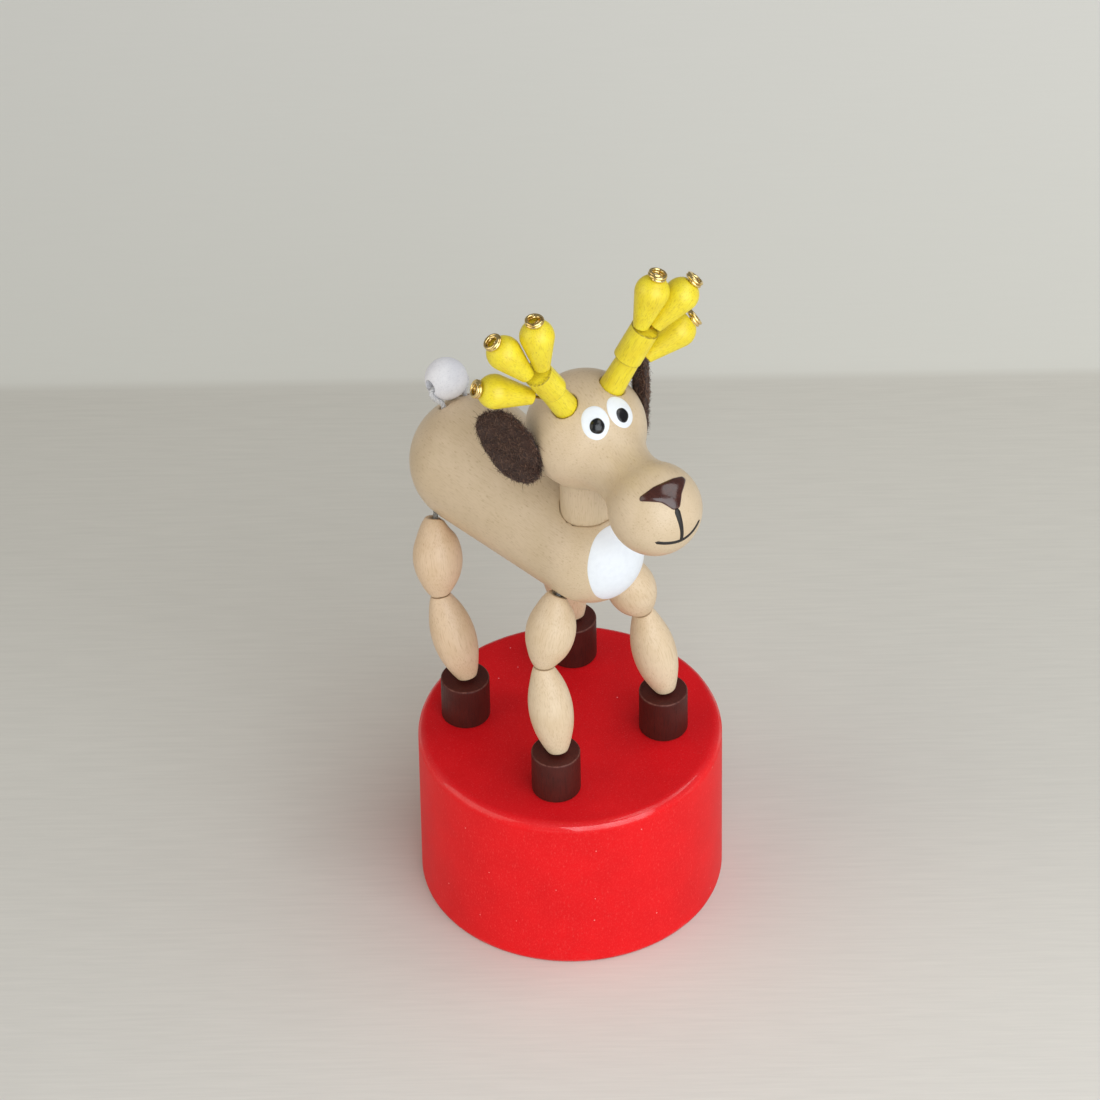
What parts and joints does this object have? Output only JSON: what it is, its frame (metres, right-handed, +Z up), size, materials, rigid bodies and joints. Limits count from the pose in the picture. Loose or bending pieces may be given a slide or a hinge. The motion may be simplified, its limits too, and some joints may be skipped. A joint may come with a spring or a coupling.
{
  "type": "push puppet",
  "caption": "Wooden reindeer of beads strung on threads over a round base; a sprung button under the base slackens the threads and lets the figure fold.",
  "frame": {"origin": "centre of the base's foot, on the surface that the puppet stands on", "axes": "+Z up, -Y the way the animal faces, +X the animal's left side"},
  "size_m": [0.05, 0.0663, 0.128],
  "materials": {
    "red_paint": "gloss paint on turned wood",
    "dark_paint": "satin dark brown stain on turned wood",
    "bare_wood": "satin clear lacquer on pale wood",
    "tan_paint": "satin tan paint on turned wood",
    "yellow_stain": "satin yellow stain on turned wood",
    "white_bead": "matt white paint on a turned bead",
    "white_paint": "gloss white paint film",
    "black_paint": "gloss black paint film",
    "brown_paint": "gloss dark brown paint film",
    "felt": "brown felt",
    "brass_wire": "bright drawn wire",
    "thread": "twisted grey thread",
    "spring_steel": "bright spring wire"
  },
  "bodies": {
    "base": {"base_shell": "red_paint", "front_left_hoof": "dark_paint", "front_right_hoof": "dark_paint", "rear_left_hoof": "dark_paint", "rear_right_hoof": "dark_paint", "return_spring": "spring_steel", "front_left_thread": "thread", "front_right_thread": "thread", "rear_thread": "thread"},
    "button": {"push_button": "bare_wood", "thread_knots": "thread"},
    "front_left_shin": {"front_left_shin": "bare_wood"},
    "front_left_thigh": {"front_left_thigh": "bare_wood"},
    "front_right_shin": {"front_right_shin": "bare_wood"},
    "front_right_thigh": {"front_right_thigh": "bare_wood"},
    "rear_left_shin": {"rear_left_shin": "bare_wood"},
    "rear_left_thigh": {"rear_left_thigh": "bare_wood"},
    "rear_right_shin": {"rear_right_shin": "bare_wood"},
    "rear_right_thigh": {"rear_right_thigh": "bare_wood"},
    "torso": {"body": "tan_paint", "chest_bib": "white_paint"},
    "tail": {"tail_bead": "white_bead"},
    "neck": {"neck": "tan_paint"},
    "head": {"head": "tan_paint", "head_peg": "bare_wood", "left_antler_crown": "yellow_stain", "left_antler_stem": "yellow_stain", "left_ear": "felt", "left_eye_white": "white_paint", "left_pin_1": "brass_wire", "left_pin_2": "brass_wire", "left_pin_3": "brass_wire", "left_pupil": "black_paint", "left_tine_1": "yellow_stain", "left_tine_2": "yellow_stain", "left_tine_3": "yellow_stain", "mouth_paint": "black_paint", "nose_paint": "brown_paint", "right_antler_crown": "yellow_stain", "right_antler_stem": "yellow_stain", "right_ear": "felt", "right_eye_white": "white_paint", "right_pin_1": "brass_wire", "right_pin_2": "brass_wire", "right_pin_3": "brass_wire", "right_pupil": "black_paint", "right_tine_1": "yellow_stain", "right_tine_2": "yellow_stain", "right_tine_3": "yellow_stain"}
  },
  "joints": [
    {"name": "button_press", "type": "slide", "parent": "base", "child": "button", "axis": [0, 0, 1], "range_m": [0, 0.0055], "stiffness_N_per_m": 600, "springref_m": -0.005, "deforming": ["return_spring", "front_left_thread", "front_right_thread", "rear_thread"]},
    {"name": "front_left_ankle", "type": "hinge", "parent": "base", "child": "front_left_shin", "pos_m": [0.01138, -0.00923, 0.03866], "axis": [-1, 0, 0], "range_deg": [0, 36.1]},
    {"name": "front_left_knee", "type": "hinge", "parent": "front_left_shin", "child": "front_left_thigh", "pos_m": [0.01038, -0.0079, 0.0539], "axis": [1, 0, 0], "range_deg": [0, 90.1]},
    {"name": "front_right_ankle", "type": "hinge", "parent": "base", "child": "front_right_shin", "pos_m": [-0.01138, -0.00923, 0.03866], "axis": [-1, 0, 0], "range_deg": [0, 36.1]},
    {"name": "front_right_knee", "type": "hinge", "parent": "front_right_shin", "child": "front_right_thigh", "pos_m": [-0.01038, -0.0079, 0.0539], "axis": [1, 0, 0], "range_deg": [0, 90.1]},
    {"name": "rear_left_ankle", "type": "hinge", "parent": "base", "child": "rear_left_shin", "pos_m": [0.01141, 0.01418, 0.03865], "axis": [-1, 0, 0], "range_deg": [0, 44.6]},
    {"name": "rear_left_knee", "type": "hinge", "parent": "rear_left_shin", "child": "rear_left_thigh", "pos_m": [0.01191, 0.01687, 0.0538], "axis": [1, 0, 0], "range_deg": [0, 102.5]},
    {"name": "rear_right_ankle", "type": "hinge", "parent": "base", "child": "rear_right_shin", "pos_m": [-0.01141, 0.01418, 0.03865], "axis": [-1, 0, 0], "range_deg": [0, 44.6]},
    {"name": "rear_right_knee", "type": "hinge", "parent": "rear_right_shin", "child": "rear_right_thigh", "pos_m": [-0.01191, 0.01687, 0.0538], "axis": [1, 0, 0], "range_deg": [0, 102.5]},
    {"name": "front_left_hip", "type": "hinge", "parent": "front_left_thigh", "child": "torso", "pos_m": [0.00647, -0.00376, 0.06531], "axis": [-1, 0, 0], "range_deg": [0, 54.1]},
    {"name": "neck_bend", "type": "hinge", "parent": "torso", "child": "neck", "pos_m": [0, -0.00945, 0.08031], "axis": [1, 0, 0], "range_deg": [0, 10.1]},
    {"name": "head_nod", "type": "hinge", "parent": "neck", "child": "head", "pos_m": [0, -0.00945, 0.08861], "axis": [1, 0, 0], "range_deg": [0, 22.1]},
    {"name": "tail_droop", "type": "hinge", "parent": "torso", "child": "tail", "pos_m": [0, 0.0232, 0.07241], "axis": [-1, 0, 0], "range_deg": [0, 16.1]}
  ],
  "couplings": [
    {"joint": "front_left_ankle", "follows": "button_press", "rad_per_m": 114.24},
    {"joint": "front_left_knee", "follows": "button_press", "rad_per_m": 285.6},
    {"joint": "front_right_ankle", "follows": "button_press", "rad_per_m": 114.24},
    {"joint": "front_right_knee", "follows": "button_press", "rad_per_m": 285.6},
    {"joint": "rear_left_ankle", "follows": "button_press", "rad_per_m": 141.36},
    {"joint": "rear_left_knee", "follows": "button_press", "rad_per_m": 324.79},
    {"joint": "rear_right_ankle", "follows": "button_press", "rad_per_m": 141.36},
    {"joint": "rear_right_knee", "follows": "button_press", "rad_per_m": 324.79},
    {"joint": "front_left_hip", "follows": "button_press", "rad_per_m": 171.36},
    {"joint": "neck_bend", "follows": "button_press", "rad_per_m": 31.733},
    {"joint": "head_nod", "follows": "button_press", "rad_per_m": 69.813},
    {"joint": "tail_droop", "follows": "button_press", "rad_per_m": 50.773}
  ]
}
